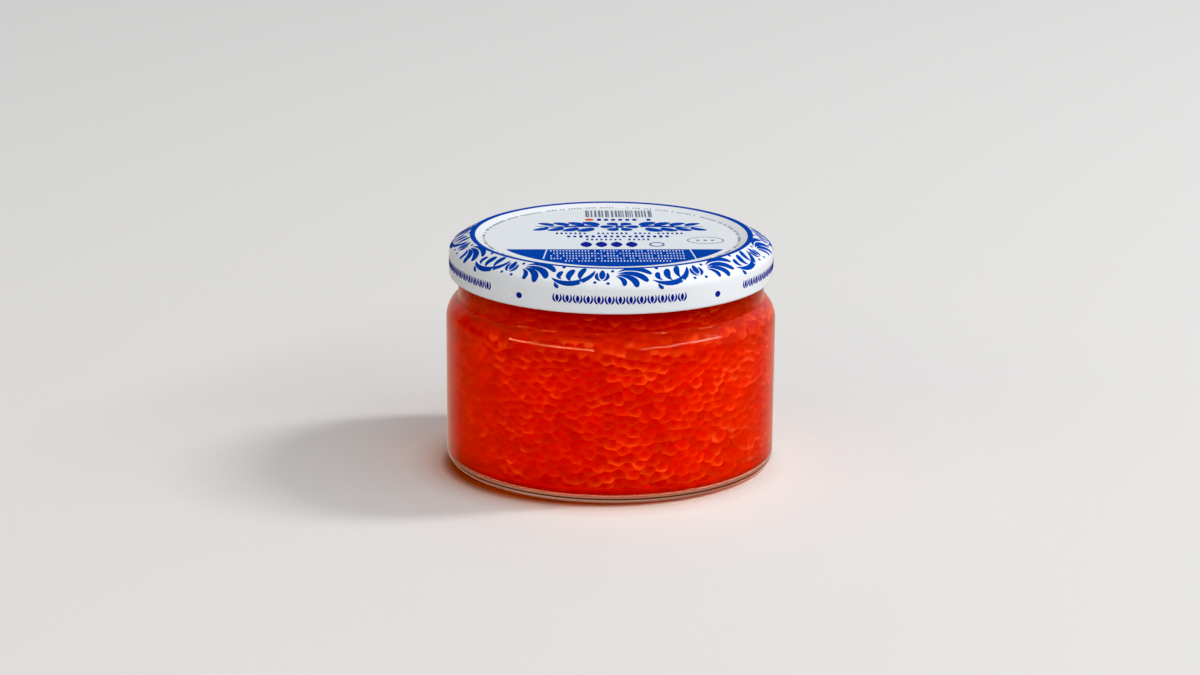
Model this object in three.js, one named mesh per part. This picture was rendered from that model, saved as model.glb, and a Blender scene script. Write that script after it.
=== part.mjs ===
// A shut glass jar of trout roe with its tinplate lid.
// Millimetres, +Z up. The origin is the middle of the base and the front faces -Y.
import * as THREE from "three";

// Glass
const bodyRadius = 43.2;
const wall = 2.2;
const heelRadius = 2.4;
const standingRing = 35;       // inner edge of the flat ring that the jar stands on
const hollowRadius = 30;       // flat middle of the hollow under the base
const hollowDepth = 0.8;
const floorEdge = 2.2;         // height of the inside floor beside the wall
const floorMiddle = 3.0;       // and in the middle, where it is domed
const floorCorner = 2.5;       // radius of the inside corner at the floor
const shoulderStart = 38;      // height where the side turns in
const shoulderRadius = 6.6;
const neckRadius = 40;
const neckFillet = 1.2;        // hollow curve between shoulder and neck
const mouthHeight = 57.4;      // top of the glass, inside the lid

// Lid
const lidHeight = 60;          // top of the raised rim
const lidBottom = 49.5;
const lidRadius = 42.2;
const tin = 0.5;               // thickness of the tinplate with its coatings
const crestRadius = 35.2;      // middle line of the raised rim
const crestCurve = 1.0;
const recess = 1.0;            // the panel lies this far below the raised rim
const innerSlope = 22;         // degrees, from the rim down to the panel
const panelCurve = 1.6;
const outerSlope = 24.5;       // degrees, from the rim down to the skirt
const lidCorner = 2.5;         // radius between that slope and the skirt
const curlHeight = 1.6;        // the rolled lower edge
const curlWidth = 1.5;

// Roe
const clearance = 0.4;         // between the roe and the glass
const roeTop = 55;
const topEdge = 1;             // bevel where the wall of roe meets its top
const topRing = 34;            // radius of the last row of eggs on the top
const hillRing = 15;           // radius of the uneven ring inside it
const eggsAround = 72;
const eggRow = 3.05;           // height of one row of eggs along the wall
const eggDepth = 1.15;         // how deep the gaps between the eggs are
const unevenness = 0.16;       // share of an egg by which places differ

const turnSteps = 48;          // sides of the glass and of the lid
const degrees = Math.PI / 180;

// Points on an arc about (r, z). The angles are in degrees from the outward direction, turning upwards.
function arc(r, z, radius, from, to, steps) {
  const points = [];
  for (let i = 0; i <= steps; i++) {
    const angle = (from + ((to - from) * i) / steps) * degrees;
    points.push(new THREE.Vector2(r + radius * Math.cos(angle), z + radius * Math.sin(angle)));
  }
  return points;
}

const point = (r, z) => new THREE.Vector2(r, z);

// A solid of revolution about +Z from an outline of (radius, height) points.
function turned(outline) {
  const geometry = new THREE.LatheGeometry(outline, turnSteps);
  geometry.rotateX(Math.PI / 2);
  return geometry;
}

// Height of the fillet's centre, and the angle at which shoulder and fillet meet.
const shoulderCentre = bodyRadius - shoulderRadius;
const filletCentre = neckRadius + neckFillet;
const centresApart = shoulderRadius + neckFillet;
const meetingAngle = Math.acos((filletCentre - shoulderCentre) / centresApart) / degrees;
const filletHeight = shoulderStart + centresApart * Math.sin(meetingAngle * degrees);

// Shoulder, fillet and foot of the neck, at a depth below the outer face of the glass.
function shoulderOutline(depth, steps) {
  return [
    ...arc(shoulderCentre, shoulderStart, shoulderRadius - depth, 0, meetingAngle, steps),
    ...arc(filletCentre, filletHeight, neckFillet + depth, meetingAngle + 180, 180, 3).slice(1),
  ];
}

// Inside of the jar from the middle of the floor up to the foot of the neck, with a gap kept to the glass.
function insideOutline(gap) {
  const cornerCentre = bodyRadius - wall - floorCorner;
  return [
    point(0, floorMiddle + gap),
    ...arc(cornerCentre, floorEdge + floorCorner, floorCorner - gap, -90, 0, 3),
    ...shoulderOutline(wall + gap, 4),
  ];
}

function jarGeometry() {
  const mouthCurve = wall / 2;
  const outside = [
    point(0, hollowDepth),
    point(hollowRadius, hollowDepth),
    point(standingRing, 0),
    ...arc(bodyRadius - heelRadius, heelRadius, heelRadius, -90, 0, 3),
    ...shoulderOutline(0, 5),
  ];
  const mouth = arc(neckRadius - mouthCurve, mouthHeight - mouthCurve, mouthCurve, 0, 180, 4);
  return turned([...outside, ...mouth, ...insideOutline(0).reverse()]);
}

// The pressed top of the lid, from the middle of the panel to the skirt, at a depth below its outer face.
function pressedOutline(depth, steps) {
  const crestCentre = lidHeight - crestCurve;
  const panelHeight = lidHeight - recess;
  const inner = innerSlope * degrees;
  const outer = outerSlope * degrees;
  // the inner slope touches the rim's curve above and the panel's curve below
  const rise = recess - (crestCurve + panelCurve) * (1 - Math.cos(inner));
  const panelRadius = crestRadius - (crestCurve + panelCurve) * Math.sin(inner) - rise / Math.tan(inner);
  // the outer slope meets the skirt's line at this height
  const slopeEnd = crestCentre + crestCurve / Math.cos(outer) - (lidRadius - crestRadius) * Math.tan(outer);
  const cornerHeight = slopeEnd - lidCorner * Math.tan((90 - outerSlope) / 2 * degrees);
  return [
    point(0, panelHeight - depth),
    ...arc(panelRadius, panelHeight + panelCurve, panelCurve + depth, -90, innerSlope - 90, 1),
    ...arc(crestRadius, crestCentre, crestCurve - depth, 90 + innerSlope, 90, 1),
    ...arc(crestRadius, crestCentre, crestCurve - depth, 90, 90 - outerSlope, 1).slice(1),
    ...arc(lidRadius - lidCorner, cornerHeight, lidCorner - depth, 90 - outerSlope, 0, steps),
  ];
}

function lidGeometry() {
  const curlRadius = curlWidth / 2;
  const curlCentre = lidRadius - curlRadius;
  const rolledEdge = [
    ...arc(curlCentre, lidBottom + curlRadius, curlRadius, 0, -180, 4),
    point(lidRadius - tin, lidBottom + curlHeight),
  ];
  // this outline runs down the outside and back up the inside, so it is reversed to face out
  const outline = [...pressedOutline(0, 4), ...rolledEdge, ...pressedOutline(tin, 2).reverse()];
  return turned(outline.reverse());
}

// Repeatable random numbers from 0 to 1.
function seeded(seed) {
  let state = seed;
  return () => {
    state = (state * 1664525 + 1013904223) % 4294967296;
    return state / 4294967296;
  };
}

// A place at a given length along an outline, with the direction square to it.
function along(outline, length) {
  let left = length;
  let i = 0;
  while (i < outline.length - 2 && left > outline[i].distanceTo(outline[i + 1])) {
    left -= outline[i].distanceTo(outline[i + 1]);
    i += 1;
  }
  const direction = outline[i + 1].clone().sub(outline[i]).normalize();
  const place = outline[i].clone().addScaledVector(direction, left);
  return { place, outward: point(direction.y, -direction.x) };
}

function outlineLength(outline) {
  return outline.slice(1).reduce((sum, next, i) => sum + next.distanceTo(outline[i]), 0);
}

// The roe is one body that follows the inside of the glass. Eggs stand as peaks in rows, each row half
// an egg round from the last, and every gap between three eggs is a pit.
function roeGeometry() {
  const random = seeded(41);
  const uneven = (amount) => (random() * 2 - 1) * amount;
  const inside = insideOutline(clearance);
  const floorCentre = inside.shift();
  const neckInside = neckRadius - wall - clearance;
  const path = [
    ...inside,
    point(neckInside, roeTop - topEdge),
    point(neckInside - topEdge, roeTop),
    point(topRing, roeTop),
  ];
  const length = outlineLength(path);
  const rows = Math.round(length / eggRow);

  const positions = [];
  const faces = [];
  const addPoint = (r, z, turn) => {
    const angle = (turn / eggsAround) * 2 * Math.PI;
    positions.push(r * Math.sin(angle), -r * Math.cos(angle), z);
    return positions.length / 3 - 1;
  };

  const peak = [];
  for (let row = 0; row <= rows; row++) {
    const shift = (row % 2) / 2;
    peak.push([]);
    for (let egg = 0; egg < eggsAround; egg++) {
      const onEdge = row === 0 || row === rows;
      const slide = onEdge ? 0 : uneven(unevenness) * eggRow;
      const { place, outward } = along(path, (length * row) / rows + slide);
      const sunk = onEdge ? 0 : random() * unevenness * eggDepth * 2;
      const turn = egg + shift + uneven(unevenness);
      peak[row].push(addPoint(place.x - outward.x * sunk, place.y - outward.y * sunk, turn));
    }
  }

  // three eggs a, b and c, seen from outside against the clock, with a pit between them
  const pitAmong = (a, b, c, row, turn) => {
    const { place, outward } = along(path, (length * row) / rows);
    const depth = eggDepth * (1 + uneven(unevenness));
    const pit = addPoint(place.x - outward.x * depth, place.y - outward.y * depth, turn);
    faces.push(a, b, pit, b, c, pit, c, a, pit);
  };
  for (let row = 0; row < rows; row++) {
    const shift = row % 2;
    for (let egg = 0; egg < eggsAround; egg++) {
      const next = (egg + 1) % eggsAround;
      const low = peak[row];
      const high = peak[row + 1];
      const above = (egg + shift) % eggsAround;
      const aboveNext = (above + 1) % eggsAround;
      pitAmong(low[egg], low[next], high[above], row + 1 / 3, egg + shift / 2 + 0.5);
      pitAmong(low[next], high[aboveNext], high[above], row + 2 / 3, egg + shift / 2 + 1);
    }
  }

  // the plain underside, and the uneven top inside the last row
  const floor = addPoint(0, floorCentre.y, 0);
  const hill = [];
  for (let egg = 0; egg < eggsAround; egg++) {
    hill.push(addPoint(hillRing, roeTop + uneven(unevenness) * eggRow, egg));
  }
  const top = addPoint(0, roeTop, 0);
  for (let egg = 0; egg < eggsAround; egg++) {
    const next = (egg + 1) % eggsAround;
    faces.push(peak[0][next], peak[0][egg], floor);
    faces.push(peak[rows][egg], peak[rows][next], hill[egg], peak[rows][next], hill[next], hill[egg]);
    faces.push(hill[egg], hill[next], top);
  }

  const geometry = new THREE.BufferGeometry();
  geometry.setAttribute("position", new THREE.Float32BufferAttribute(positions, 3));
  geometry.setIndex(faces);
  geometry.computeVertexNormals();
  return geometry;
}

const clearGlass = new THREE.MeshStandardMaterial({ color: 0xe9f0ee, roughness: 0.05, metalness: 0 });
const whiteTin = new THREE.MeshStandardMaterial({ color: 0xeef1f5, roughness: 0.25, metalness: 0 });
const roeRed = new THREE.MeshStandardMaterial({ color: 0xd7260a, roughness: 0.25, metalness: 0 });

function named(name, geometry, material) {
  const mesh = new THREE.Mesh(geometry, material);
  mesh.name = name;
  return mesh;
}

const jarOfRoe = new THREE.Group();
jarOfRoe.add(named("jar", jarGeometry(), clearGlass));
jarOfRoe.add(named("roe", roeGeometry(), roeRed));
jarOfRoe.add(named("lid", lidGeometry(), whiteTin));

export default jarOfRoe;
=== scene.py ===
# A shut glass jar of trout roe with its printed tinplate lid, on a pale studio floor.
# Metres, +Z up, in the same frame as the solids. The front of the jar faces -Y.
import math

import bmesh
import bpy
import numpy as np
from mathutils import Matrix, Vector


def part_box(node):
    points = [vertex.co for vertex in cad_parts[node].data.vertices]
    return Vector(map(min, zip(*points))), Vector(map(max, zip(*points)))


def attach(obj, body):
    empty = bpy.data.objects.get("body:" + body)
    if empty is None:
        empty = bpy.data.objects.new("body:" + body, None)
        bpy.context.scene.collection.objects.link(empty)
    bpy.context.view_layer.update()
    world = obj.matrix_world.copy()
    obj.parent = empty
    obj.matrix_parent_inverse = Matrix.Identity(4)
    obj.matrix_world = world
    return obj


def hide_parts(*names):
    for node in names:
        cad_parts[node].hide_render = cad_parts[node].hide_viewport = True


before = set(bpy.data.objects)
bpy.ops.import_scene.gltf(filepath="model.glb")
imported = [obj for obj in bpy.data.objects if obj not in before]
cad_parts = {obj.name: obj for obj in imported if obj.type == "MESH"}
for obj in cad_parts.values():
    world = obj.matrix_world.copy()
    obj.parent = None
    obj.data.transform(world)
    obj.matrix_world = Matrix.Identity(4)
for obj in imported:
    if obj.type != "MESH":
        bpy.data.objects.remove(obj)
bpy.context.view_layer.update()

# Shapes are worked out in millimetres, and newPiece turns them into metres.
mm = 0.001
jarHigh = np.round(np.array(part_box("jar")[1]) / mm, 3)
lidLow, lidHigh = (np.round(np.array(corner) / mm, 3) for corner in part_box("lid"))


# Meshes

def addObject(name, data):
    # a mesh, camera or lamp, put into the scene
    item = bpy.data.objects.new(name, data)
    bpy.context.scene.collection.objects.link(item)
    return item


def newPiece(name, points, faces, material, smoothAngle=None):
    # points is (n, 3) in millimetres, faces a list of index arrays, one for each number of corners
    mesh = bpy.data.meshes.new(name)
    mesh.from_pydata(points * mm, [], [face for array in faces for face in array.tolist()])
    mesh.shade_smooth()
    if smoothAngle:
        mesh.set_sharp_from_angle(angle=math.radians(smoothAngle))
    mesh.materials.append(material)
    piece = addObject(name, mesh)
    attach(piece, "root")
    print(f"{name}: {len(points)} points, {sum(len(array) for array in faces)} faces")
    return piece


def addValues(piece, name, values):
    # one number for each point of the mesh, which its material reads
    attribute = piece.data.attributes.new(name, "FLOAT", "POINT")
    attribute.data.foreach_set("value", values.astype(np.float32))


def arc(r, z, radius, start, end, steps):
    # (r + radius cos a, z + radius sin a), where a runs from start to end in degrees
    a = np.radians(np.linspace(start, end, steps + 1))
    return np.stack([r + radius * np.cos(a), z + radius * np.sin(a)], 1)


def lengthAlong(outline):
    # how far each point lies along an outline
    return np.concatenate([[0], np.cumsum(np.sqrt((np.diff(outline, axis=0) ** 2).sum(1)))])


def placeAlong(outline, s):
    # (r, z) at a length s along an outline, and the outline's direction (dr, dz) there, which has length 1
    length = lengthAlong(outline)
    near = 0.05
    r, z = (np.interp(s, length, part) for part in outline.T)
    dr, dz = (np.interp(s + near, length, part) - np.interp(s - near, length, part) for part in outline.T)
    step = np.hypot(dr, dz)
    return r, z, dr / step, dz / step


def evenTurns(sides):
    # the angles 2 pi i / sides
    return np.linspace(0, 2 * np.pi, sides, endpoint=False)


def turned(outline, turns, ridge=None):
    # Each point (r, z) of the outline goes round the axis to (r sin t, -r cos t, z) for every t in turns.
    # Ends on the axis close as fans, and an outline off the axis closes on itself. ridge is added to r.
    onAxis = outline[0, 0] == 0
    rows = outline[1:-1] if onAxis else outline
    r = rows[:, :1] + (0 if ridge is None else ridge[1:-1])
    z = rows[:, 1:] + 0 * turns
    grid = np.stack([r * np.sin(turns), -r * np.cos(turns), z], -1)
    high, wide = grid.shape[:2]
    index = np.arange(high * wide).reshape(high, wide)
    beside = np.roll(index, -1, 1)
    above = np.roll(index, -1, 0)
    aboveBeside = np.roll(beside, -1, 0)
    quads = np.stack([index, beside, aboveBeside, above], -1)
    points = grid.reshape(-1, 3)
    if not onAxis:
        return points, [quads.reshape(-1, 4)]
    poles = np.array([[0, 0, outline[0, 1]], [0, 0, outline[-1, 1]]])
    first, last = len(points), len(points) + 1
    firstFan = np.stack([beside[0], index[0], np.full(wide, first)], -1)
    lastFan = np.stack([index[-1], beside[-1], np.full(wide, last)], -1)
    return np.concatenate([points, poles]), [quads[:-1].reshape(-1, 4), firstFan, lastFan]


# Materials

def newMaterial(name, color, roughness, **sockets):
    # a Principled shader; keywords are its sockets' names without their spaces
    material = bpy.data.materials.new(name)
    material.use_nodes = True
    shader = material.node_tree.nodes["Principled BSDF"]
    shader.inputs["Base Color"].default_value = (*color, 1)
    shader.inputs["Roughness"].default_value = roughness
    for socket in shader.inputs:
        plain = socket.name.replace(" ", "")
        if plain in sockets:
            socket.default_value = sockets[plain]
    return material, shader


def link(owner, source, socket):
    # owner is a material or the world
    owner.node_tree.links.new(source, socket)


def addNode(owner, kind, *sources, inputs={}, **settings):
    # a node with these settings and fixed inputs, whose first inputs take the sources
    node = owner.node_tree.nodes.new(kind)
    for name, value in settings.items():
        setattr(node, name, value)
    for name, value in inputs.items():
        node.inputs[name].default_value = value
    for source, socket in zip(sources, node.inputs):
        link(owner, source, socket)
    return node


def objectPlace(material):
    # where a point lies on its piece, in metres
    return addNode(material, "ShaderNodeTexCoord").outputs["Object"]


def objectAxes(material):
    # the same as the numbers X, Y and Z
    return addNode(material, "ShaderNodeSeparateXYZ", objectPlace(material)).outputs


def objectNoise(material, scale, detail=2.0, stretch=(1, 1, 1)):
    # noise over the piece, scale in waves per metre
    mapping = addNode(material, "ShaderNodeMapping", objectPlace(material), inputs={"Scale": stretch})
    waves = {"Scale": scale, "Detail": detail}
    return addNode(material, "ShaderNodeTexNoise", mapping.outputs["Vector"], inputs=waves).outputs["Fac"]


def farFrom(material, middle, stretch):
    # the length of (place - middle) * stretch, with middle in millimetres
    aside = addNode(
        material, "ShaderNodeVectorMath", objectPlace(material), operation="SUBTRACT",
        inputs={1: [part * mm for part in middle]})
    stretched = addNode(
        material, "ShaderNodeVectorMath", aside.outputs[0], operation="MULTIPLY", inputs={1: stretch})
    distance = addNode(material, "ShaderNodeVectorMath", stretched.outputs[0], operation="LENGTH")
    return distance.outputs["Value"]


def pointValue(material, name):
    # a number that addValues has stored
    return addNode(material, "ShaderNodeAttribute", attribute_name=name).outputs["Fac"]


def mapped(owner, source, low, high, fromLow=0.0, fromHigh=1.0):
    # source stretched from one range of values to another
    ranges = {"From Min": fromLow, "From Max": fromHigh, "To Min": low, "To Max": high}
    return addNode(owner, "ShaderNodeMapRange", source, inputs=ranges).outputs["Result"]


def acrossFrom(material, across, low, span):
    # from low at the left end of a span in millimetres to 1 at its right end
    return mapped(material, across, low, 1, *(x * mm for x in span))


def ramped(material, source, stops):
    # source turned into a colour by (position, colour) stops
    ramp = addNode(material, "ShaderNodeValToRGB", source)
    elements = ramp.color_ramp.elements
    for i, (position, color) in enumerate(stops):
        element = elements[i] if i < 2 else elements.new(position)
        element.position = position
        element.color = (*color, 1)
    return ramp.outputs["Color"]


def product(material, first, *others):
    # first times each of the others
    for other in others:
        first = addNode(material, "ShaderNodeMath", first, other, operation="MULTIPLY").outputs[0]
    return first


def lightBy(material, shader, strength, color, socket):
    # a colour times a strength goes into one of the shader's sockets
    scaled = addNode(material, "ShaderNodeVectorMath", color, operation="SCALE")
    link(material, strength, scaled.inputs["Scale"])
    link(material, scaled.outputs[0], shader.inputs[socket])


def addBump(material, shader, source, distance, strength):
    # tilts the shader's surface as if source were a height
    bump = addNode(material, "ShaderNodeBump", inputs={"Distance": distance, "Strength": strength})
    link(material, source, bump.inputs["Height"])
    link(material, bump.outputs["Normal"], shader.inputs["Normal"])


def letLampsThrough(material, shader):
    # shadow rays pass straight through, so that lamps reach what lies behind clear glass
    isShadow = addNode(material, "ShaderNodeLightPath").outputs["Is Shadow Ray"]
    clear = addNode(material, "ShaderNodeBsdfTransparent").outputs["BSDF"]
    mix = addNode(material, "ShaderNodeMixShader", isShadow, shader.outputs["BSDF"], clear)
    link(material, mix.outputs["Shader"], material.node_tree.nodes["Material Output"].inputs["Surface"])


# Glass jar

glass = {
    "bodyRadius": jarHigh[0],
    "mouthHeight": jarHigh[2],
    "wall": 2.2,
    "heelRadius": 2.4,
    "standingRing": 35,       # inner edge of the flat ring that the jar stands on
    "hollowRadius": 30,
    "hollowDepth": 0.8,
    "floorEdge": 1.5,         # height of the inside floor beside the wall
    "floorMiddle": 2.4,
    "floorCorner": 2.5,
    "shoulderStart": 38,
    "shoulderRadius": 6.6,
    "neckRadius": 40,
    "neckFillet": 1.2,
    "sides": 256,
    "curveSteps": 12,         # along the heel and over the mouth
    "shoulderSteps": 32,
    "insideSteps": 10,
    "seamTurn": 3,            # degrees from the front to the first mould seam; the other lies opposite
    "seamHeight": 0.16,
    "seamWidth": 0.4,
    "index": 1.5,
    "waves": 45,              # faint waves for each metre
    "waveDepth": 0.0006,
    "waveStrength": 0.015,
    "color": (0.985, 0.995, 0.99),
    "heelColor": (0.96, 0.9, 0.87),
    # the underside's tan is painted in for light seen through the base
    "underColor": (0.8, 0.6, 0.52),
    "underRoughness": 0.3,
    "underClear": 0.3,        # share of light that passes the stippled underside unscattered
    "shine": 0.2,
    "underShine": 0.3,
    "glowLeft": 0.3,          # share of the underside's and the heel's painted glow at the left
    "glowSpan": (-40, -18),
    "heelTint": [             # painted bands of refraction and shade, at heights above the table
        (0.55, (0.3, 0.01, 0.005)), (0.75, (1, 0.9, 0.85)), (1.35, (1, 0.9, 0.85)),
        (1.5, (0.05, 0.02, 0.01)), (1.8, (0.05, 0.02, 0.01)), (1.95, (0.96, 0.93, 0.9)),
    ],
    # painted glow at the same heights
    "heelGlow": [
        (0.6, (0, 0, 0)), (0.8, (0.11, 0.04, 0.025)), (1.3, (0.11, 0.04, 0.025)), (1.45, (0, 0, 0)),
    ],
    "underStart": 20,
    "underGlow": [            # painted glow, at distances from the axis
        (25, (0, 0, 0)), (28.5, (0.2, 0.12, 0.08)), (34.4, (0.2, 0.13, 0.1)), (35, (0, 0, 0)),
        (35.8, (0.3, 0.07, 0.05)), (38.5, (0.3, 0.05, 0.03)), (40.3, (0.03, 0.001, 0)),
    ],
}

# Height of the fillet's centre, and the angle at which shoulder and fillet meet.
shoulderCentre = glass["bodyRadius"] - glass["shoulderRadius"]
filletCentre = glass["neckRadius"] + glass["neckFillet"]
centresApart = glass["shoulderRadius"] + glass["neckFillet"]
meetingAngle = math.degrees(math.acos((filletCentre - shoulderCentre) / centresApart))
filletHeight = glass["shoulderStart"] + centresApart * math.sin(math.radians(meetingAngle))


def shoulderOutline(depth, steps):
    # shoulder arc and fillet arc, both moved a depth in from the outer face of the glass
    radius, fillet = glass["shoulderRadius"] - depth, glass["neckFillet"] + depth
    return np.concatenate([
        arc(shoulderCentre, glass["shoulderStart"], radius, 0, meetingAngle, steps),
        arc(filletCentre, filletHeight, fillet, meetingAngle + 180, 180, steps)[1:],
    ])


def insideOutline(gap, steps):
    # the inside of the glass from the corner of its floor to the foot of its neck, a gap further in
    cornerCentre = glass["bodyRadius"] - glass["wall"] - glass["floorCorner"]
    cornerHeight = glass["floorEdge"] + glass["floorCorner"]
    corner = arc(cornerCentre, cornerHeight, glass["floorCorner"] - gap, -90, 0, steps)
    return np.concatenate([corner, shoulderOutline(glass["wall"] + gap, steps)])


def makeGlass():
    # A fine turned wall. Each seam adds height * exp(-(distance round / width) squared) to the outer radius,
    # with closer turns within three widths of it.
    seams = np.radians(glass["seamTurn"]) + np.array([0, np.pi])
    beside = np.linspace(-3, 3, 13) * glass["seamWidth"] / glass["bodyRadius"]
    turns = np.sort(np.concatenate([evenTurns(glass["sides"]), *(seams[:, None] + beside)]) % (2 * np.pi))
    heel, lip, steps = glass["heelRadius"], glass["wall"] / 2, glass["curveSteps"]
    hollow = glass["hollowDepth"]
    base = [[0, hollow], [glass["hollowRadius"], hollow], [glass["standingRing"], 0]]
    heelArc = arc(glass["bodyRadius"] - heel, heel, heel, -90, 0, steps)
    outside = np.concatenate([base, heelArc, shoulderOutline(0, glass["shoulderSteps"])])
    mouth = arc(glass["neckRadius"] - lip, glass["mouthHeight"] - lip, lip, 0, 180, steps)
    inside = np.concatenate([[[0, glass["floorMiddle"]]], insideOutline(0, glass["insideSteps"])])
    outline = np.concatenate([outside, mouth, inside[::-1]])
    away = (turns - seams[:, None] + np.pi) % (2 * np.pi) - np.pi
    bulge = np.exp(-(away * glass["bodyRadius"] / glass["seamWidth"]) ** 2).sum(0)
    seamed = np.zeros(len(outline))
    seamed[len(base) + 1:len(outside)] = glass["seamHeight"]
    points, faces = turned(outline, turns, seamed[:, None] * (bulge - 1))

    # the outside is polished, the inside is wet and hardly reflects, the underside is stippled and carries a
    # painted glow, and the heel throws a shadow and carries painted bands of refraction and shade
    kinds = [
        glassMaterial("clearGlass", glass["color"], 0, glass["shine"]),
        glassMaterial("wetGlass", glass["color"], 0, 0),
        glassMaterial(
            "stippledGlass", glass["underColor"], glass["underRoughness"], glass["underShine"],
            glass["underClear"]),
        glassMaterial("heelGlass", glass["heelColor"], 0, glass["shine"], passesLamps=False),
    ]
    polished, wet, stippled, banded = range(4)
    lightUnderside(*kinds[stippled])
    bandHeel(*kinds[banded])
    jar = newPiece("glassJar", points, faces, kinds[polished][0], 50)
    for kind in kinds[1:]:
        jar.data.materials.append(kind[0])
    # rows of faces from the edge of the hollow to the inside floor, then the fans under the base and inside
    rowKind = np.full(len(outline) - 1, wet, np.int32)
    rowKind[:len(outside) + len(mouth) - 2] = polished
    under = len(base) - 1
    rowKind[:under] = stippled
    rowKind[under:under + steps] = banded
    rowKind[-2] = stippled
    jar.data.polygons.foreach_set("material_index", np.repeat(rowKind, len(turns)))
    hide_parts("jar")


def glassMaterial(name, color, roughness, shine, clear=1, passesLamps=True):
    # glass with faint waves; shine is 1 for a face in air and 0 for one against liquid
    tint = (shine, shine, shine, 1)
    material, shader = newMaterial(
        name, color, roughness, IOR=glass["index"], TransmissionWeight=clear, SpecularTint=tint)
    waves = objectNoise(material, glass["waves"], detail=1, stretch=(1, 1, 0.5))
    addBump(material, shader, waves, glass["waveDepth"], glass["waveStrength"])
    if passesLamps:
        letLampsThrough(material, shader)
    return material, shader


def bandHeel(material, shader):
    # painted refraction and shade: what the heel would bend into view, painted by height: dark red roe at the
    # foot, then a pink painted glow, a dark painted line, and clear glass; each ramp runs from the table to
    # the heel's upper end
    axes = objectAxes(material)
    high = glass["heelRadius"]
    height = mapped(material, axes["Z"], 0, 1, 0, high * mm)
    for bands, socket in (("heelTint", "Base Color"), ("heelGlow", "Emission Color")):
        color = ramped(material, height, [(z / high, color) for z, color in glass[bands]])
        link(material, color, shader.inputs[socket])
    link(material, glowFade(material, axes["X"]), shader.inputs["Emission Strength"])


def lightUnderside(material, shader):
    # a painted glow for the light that comes up through the underside, by the distance from the axis: none in
    # the middle, tan over the slope of the hollow, a dark line at its edge, pink over the standing ring, and
    # dark red at its end
    start, end = glass["underStart"], glass["bodyRadius"]
    share = mapped(material, farFrom(material, (0, 0, 0), (1, 1, 0)), 0, 1, start * mm, end * mm)
    glow = ramped(material, share, [((r - start) / (end - start), color) for r, color in glass["underGlow"]])
    link(material, glow, shader.inputs["Emission Color"])
    link(material, glowFade(material, objectAxes(material)["X"]), shader.inputs["Emission Strength"])


def glowFade(material, across):
    # less painted glow at the left, the shaded side
    return acrossFrom(material, across, glass["glowLeft"], glass["glowSpan"])


# Roe

roe = {
    "seed": 41,
    "area": 7.0,              # square mm of wall for each egg
    "stretch": 1.45,          # how much further apart eggs lie across than up
    "settle": 20,             # rounds of settling
    "half": (2.6, 1.95, 1.3),     # half an egg's width, height and depth
    "sizeSpread": 0.16,
    "lean": 20,               # degrees that eggs lean to either side
    "inset": 0.95,            # from the glass to the middle of an egg
    "sunk": 0.25,             # and up to this much more
    "press": 0.04,            # gap between a pressed egg and the glass
    "pressSpread": 0.06,      # and up to this much more
    "wallTop": 54,
    "bedEdge": 37,            # radius of the eggs on the floor and of those on top
    "bedArea": 11,
    "bedSpread": 0.2,         # how far their middles lie above or below their bed
    "topHeight": 53.4,
    "rim": 0.52,              # how much more painted glow an egg has at its rim than in its middle
    "low": 0.65,              # and how much more below than above
    "lowSpan": (-0.04, 0.7),  # where in an egg the painted glow starts and is full
    "gather": (0.25, 0.95),   # share of painted light from egg to egg
    "tone": (0.88, 1.08),
    "uneven": (0.7, 1.3),     # share of painted glow from stretch to stretch of the wall, and within an egg
    "stretchWaves": 90,       # for each metre
    "cloudWaves": 450,
    # base colour and painted glow, from an egg's least to its most glowing part
    "skin": [(0, (0.2, 0.003, 0.0005)), (0.5, (0.26, 0.016, 0.003)), (1, (0.34, 0.05, 0.014))],
    "glow": [(0, (0.385, 0.001, 0.002)), (0.5, (0.46, 0.006, 0.004)), (1, (0.58, 0.02, 0.01))],
    "glowLeft": 0.7,          # share of the painted glow at the left, the shaded side
    "glowSpan": (-40, 0),
    "light": [                # share of painted light by height: painted shade at the bottom and under the lid
        (0.04, 0.6), (0.1, 0.83), (0.16, 0.96), (0.64, 0.98), (0.76, 0.75), (0.86, 0.63), (0.94, 0.55),
    ],
    "lightLeft": 0.72,        # share of painted light at the left, where painted shade falls
    "lightSpan": (-40, 25),
}


def settled(places, area, keep, around=1e6):
    # Each place moves away from every place closer than apart by half of what is missing, also round the
    # seam. apart is the distance of neighbours in an even lattice with this area for each place.
    apart = math.sqrt(area / math.sin(math.radians(60)))
    for _ in range(roe["settle"]):
        gap = places[:, None] - places[None]
        gap[..., 0] -= around * np.round(gap[..., 0] / around)
        distance = np.sqrt((gap ** 2).sum(-1)) + 1e-9
        push = np.clip(apart - distance, 0, None) / distance
        places = keep(places + 0.5 * (gap * push[..., None]).sum(1))
    return places


def wallBeds(random):
    # Middles of the eggs along the wall, with the directions across and outward. A place (x, y) lies x round
    # and y / stretch along the inside outline, so that settled places lie closer up than across.
    outline = insideOutline(roe["inset"], glass["insideSteps"])
    outline = np.concatenate([outline, [[outline[-1, 0], roe["wallTop"]]]])
    long = lengthAlong(outline)[-1]
    around = 2 * np.pi * (glass["bodyRadius"] - glass["wall"] - roe["inset"])
    high = long * roe["stretch"]
    places = random.uniform(0, 1, (round(around * long / roe["area"]), 2)) * (around, high)
    places = settled(
        places, roe["area"] * roe["stretch"], lambda p: np.clip(p, (-np.inf, 0), (np.inf, high)), around)
    r, z, dr, dz = placeAlong(outline, places[:, 1] / roe["stretch"])
    t = places[:, 0] / around * 2 * np.pi
    middle = np.stack([r * np.sin(t), -r * np.cos(t), z], 1)
    across = np.stack([np.cos(t), np.sin(t), 0 * t], 1)
    outward = np.stack([dz * np.sin(t), -dz * np.cos(t), -dr], 1)
    return middle, across, outward


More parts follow.
